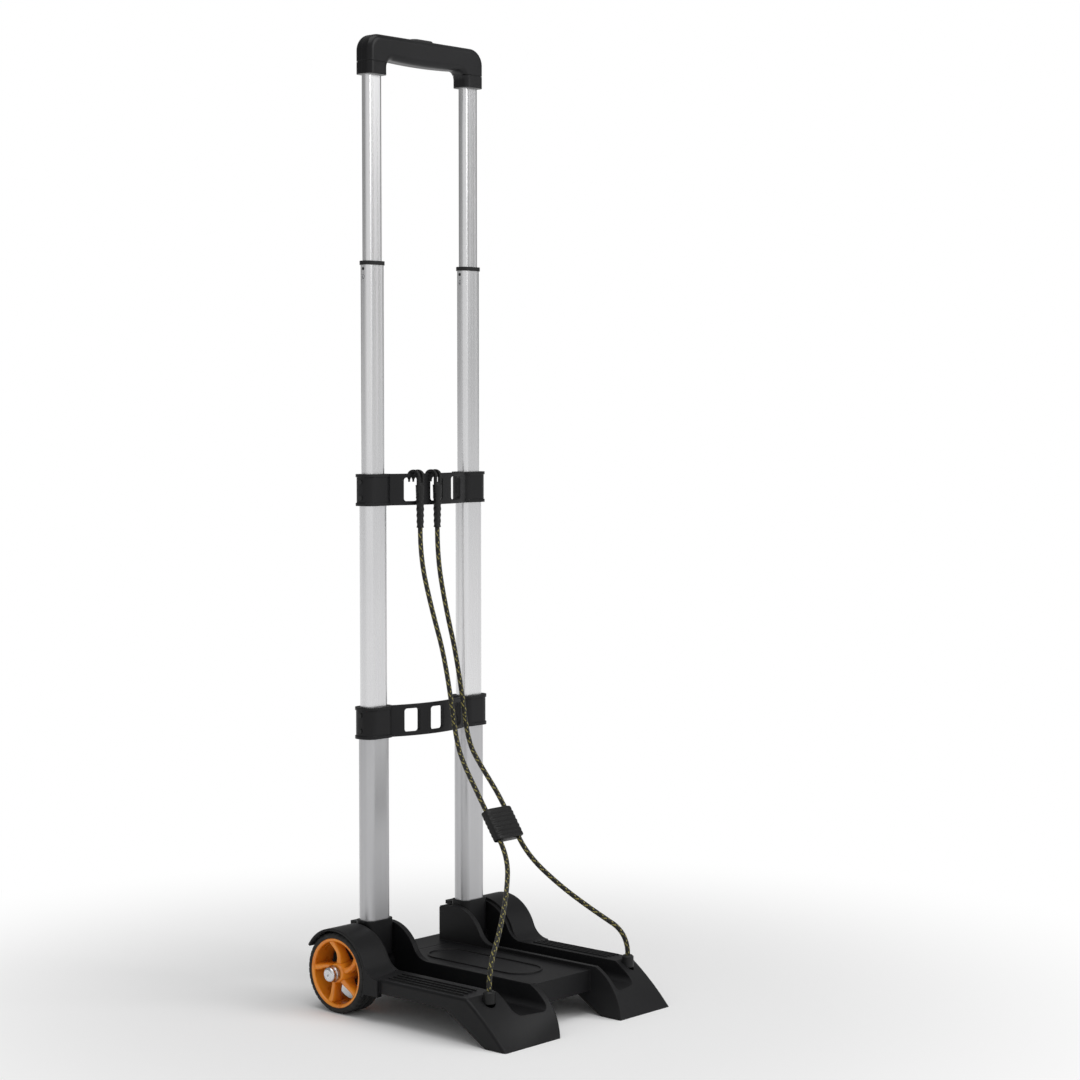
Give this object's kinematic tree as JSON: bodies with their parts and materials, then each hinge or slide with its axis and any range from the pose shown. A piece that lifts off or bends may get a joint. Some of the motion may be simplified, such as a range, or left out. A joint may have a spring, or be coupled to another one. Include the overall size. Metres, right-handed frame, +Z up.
{
  "type": "folding hand truck",
  "caption": "Compact folding luggage cart: moulded two-footed base on a pair of spoked wheels, twin telescopic aluminium mast with bridges and a push-button grip, and an elastic cord with hooks",
  "frame": {"origin": "on the floor, under the middle of the box round the cart without its cords", "axes": "+X to the right seen from behind the toes looking at the mast, -Y the front where the feet point, +Z up"},
  "size_m": [0.2692, 0.2764, 0.9815],
  "materials": {
    "moulding": "black glass-filled nylon, fine satin grain",
    "grip": "black soft-touch plastic, smooth satin",
    "button": "black plastic, light gloss",
    "trim": "black plastic, satin",
    "hooks": "black nylon, satin",
    "inner_plastic": "natural acetal",
    "tube": "satin anodised aluminium",
    "steel": "bright steel",
    "cap": "bright plated cap",
    "rivets": "dark rivet heads",
    "tyre": "black rubber tread",
    "rim": "amber orange plastic",
    "pads": "black rubber soles",
    "cord": "braided sheath, black with olive yellow flecks",
    "tube_grey": "grey satin anodised aluminium with fine lengthwise lines"
  },
  "bodies": {
    "root": {"base_moulding": "moulding", "axle": "steel", "axle_caps": "cap", "axle_spacers": "inner_plastic", "foot_pads": "pads", "cord_grommets": "trim", "fold_catches": "moulding", "cord_keeper": "hooks", "cord_lower_left": "cord", "cord_lower_right": "cord", "cord_middle_left": "cord", "cord_middle_right": "cord"},
    "wheel_left": {"tyre_left": "tyre", "rim_left": "rim", "wheel_bush_left": "inner_plastic"},
    "wheel_right": {"tyre_right": "tyre", "rim_right": "rim", "wheel_bush_right": "inner_plastic"},
    "mast": {"lower_tube_left": "tube_grey", "lower_tube_right": "tube_grey", "socket_left": "moulding", "socket_right": "moulding", "lower_bridge": "moulding", "lower_rivets": "rivets"},
    "stage2": {"second_tube_left": "tube", "second_tube_right": "tube", "cord_hook_left": "hooks", "cord_hook_right": "hooks", "cord_upper_left": "cord", "cord_upper_right": "cord", "upper_bridge": "moulding", "upper_rivets": "rivets", "second_lock_blocks": "inner_plastic", "second_pin_springs": "steel"},
    "second_pins": {"second_pin_left": "steel", "second_pin_right": "steel"},
    "stage3": {"third_tube_left": "tube", "third_tube_right": "tube", "collars": "trim", "tube_rivets": "rivets", "third_lock_blocks": "inner_plastic", "third_pin_springs": "steel"},
    "third_pins": {"third_pin_left": "steel", "third_pin_right": "steel"},
    "handle": {"handle_tube_left": "tube", "handle_tube_right": "tube", "grip_shell_front": "grip", "grip_shell_rear": "grip", "handle_lock_blocks": "inner_plastic", "handle_pin_springs": "steel", "button_spring": "steel"},
    "button": {"push_button": "button", "release_bar": "inner_plastic", "release_rods": "steel"},
    "handle_pins": {"handle_pin_left": "steel", "handle_pin_right": "steel"}
  },
  "joints": [
    {"name": "fold", "type": "hinge", "parent": "root", "child": "mast", "pos_m": [0, 0.0932, 0.0408], "axis": [1, 0, 0], "range_deg": [0, 90], "deforming": ["cord_middle_left", "cord_middle_right", "cord_lower_left", "cord_lower_right"]},
    {"name": "wheel_left_spin", "type": "hinge", "parent": "root", "child": "wheel_left", "pos_m": [0, 0.0932, 0.0408], "axis": [1, 0, 0], "continuous": true},
    {"name": "wheel_right_spin", "type": "hinge", "parent": "root", "child": "wheel_right", "pos_m": [0, 0.0932, 0.0408], "axis": [1, 0, 0], "continuous": true},
    {"name": "stage2_slide", "type": "slide", "parent": "mast", "child": "stage2", "axis": [0, 0, -1], "range_m": [0, 0.2024], "deforming": ["cord_upper_left", "cord_upper_right"]},
    {"name": "stage3_slide", "type": "slide", "parent": "stage2", "child": "stage3", "axis": [0, 0, -1], "range_m": [0, 0.2087]},
    {"name": "handle_slide", "type": "slide", "parent": "stage3", "child": "handle", "axis": [0, 0, -1], "range_m": [0, 0.1845]},
    {"name": "button_press", "type": "slide", "parent": "handle", "child": "button", "axis": [0, 0, -1], "range_m": [0, 0.004], "stiffness_N_per_m": 500, "springref_m": -0.006, "deforming": ["button_spring"]},
    {"name": "handle_pins_slide", "type": "slide", "parent": "handle", "child": "handle_pins", "axis": [1, 0, 0], "range_m": [0, 0.002], "deforming": ["handle_pin_springs"]},
    {"name": "second_pins_slide", "type": "slide", "parent": "stage2", "child": "second_pins", "axis": [1, 0, 0], "range_m": [0, 0.002], "stiffness_N_per_m": 100, "springref_m": -0.002, "deforming": ["second_pin_springs"]},
    {"name": "third_pins_slide", "type": "slide", "parent": "stage3", "child": "third_pins", "axis": [1, 0, 0], "range_m": [0, 0.002], "stiffness_N_per_m": 100, "springref_m": -0.002, "deforming": ["third_pin_springs"]}
  ],
  "couplings": [
    {"joint": "handle_pins_slide", "follows": "button_press", "ratio": 0.5}
  ]
}
